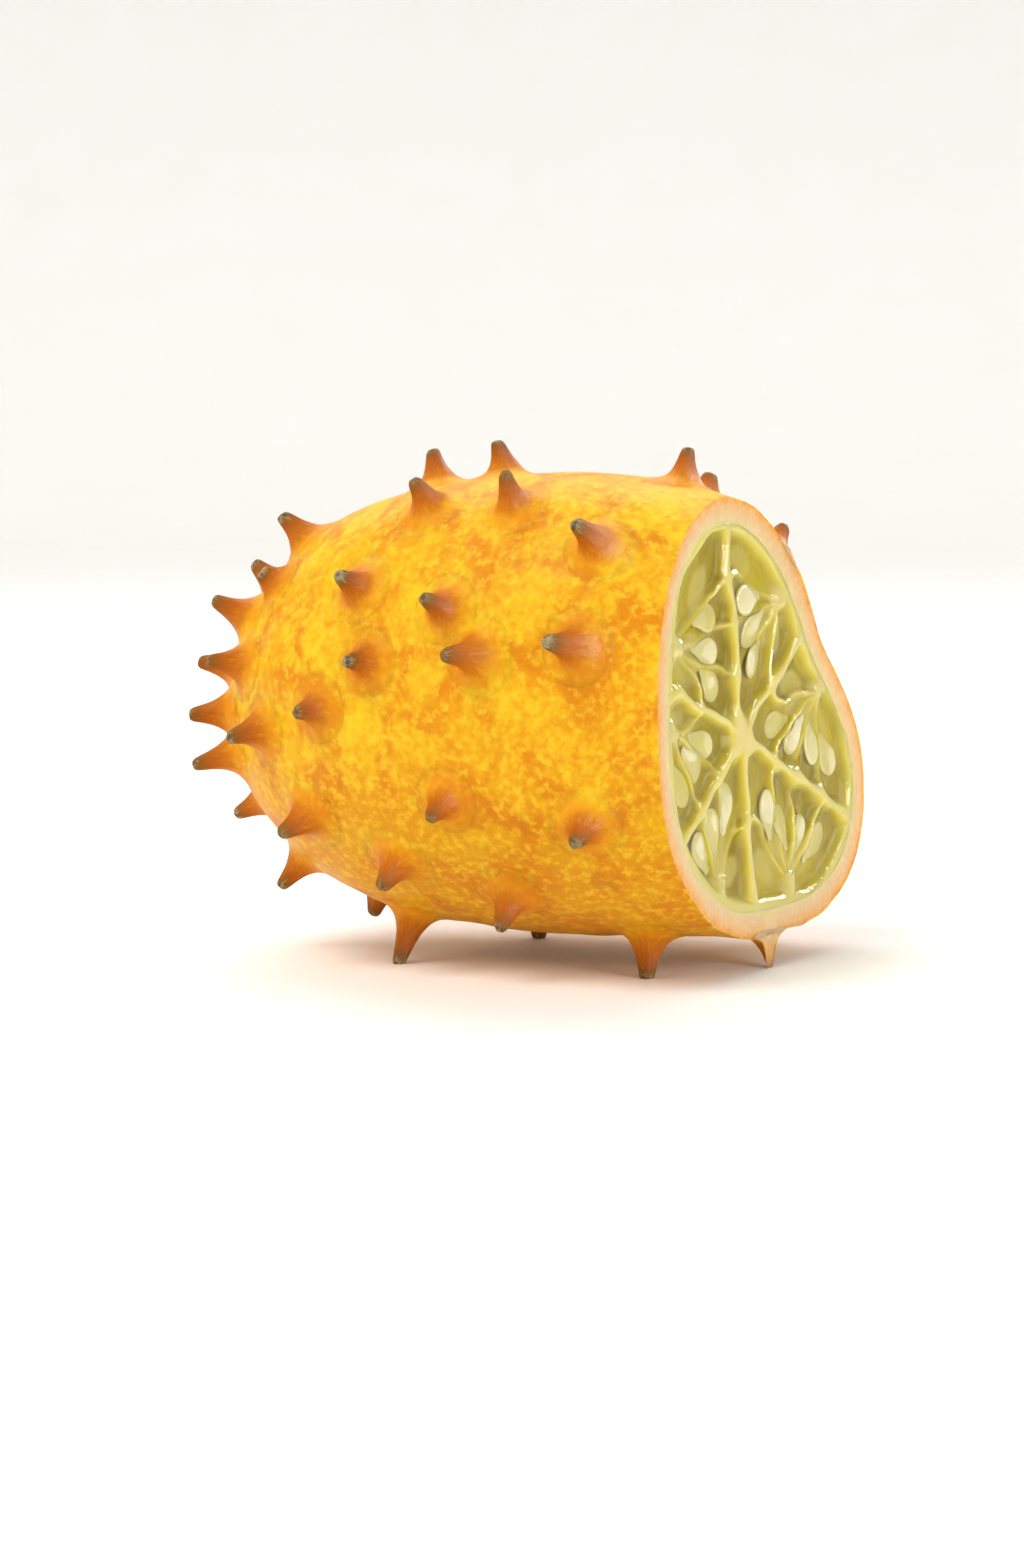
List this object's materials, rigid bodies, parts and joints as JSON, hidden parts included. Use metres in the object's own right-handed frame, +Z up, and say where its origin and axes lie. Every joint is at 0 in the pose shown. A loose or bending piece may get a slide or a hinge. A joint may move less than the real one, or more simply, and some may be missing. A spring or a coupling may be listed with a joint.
{
  "type": "horned melon",
  "caption": "Horned melon with one end cut off, lying on its blunt horns. The straight cut shows the pale flesh under the skin and the green pulp with its gel sacs and seeds.",
  "frame": {"origin": "middle of the bounding box, on the surface that the melon lies on", "axes": "+X out of the cut face along the melon's length, +Y towards the lobe at the right of the cut face when it is seen square on, +Z up"},
  "size_m": [0.0935, 0.091, 0.0826],
  "materials": {
    "rind": "semi-matt yellow-orange skin with brown horns",
    "pulp": "wet green gel with pale seeds"
  },
  "bodies": {
    "root": {"rind": "rind", "pulp": "pulp"}
  },
  "joints": []
}
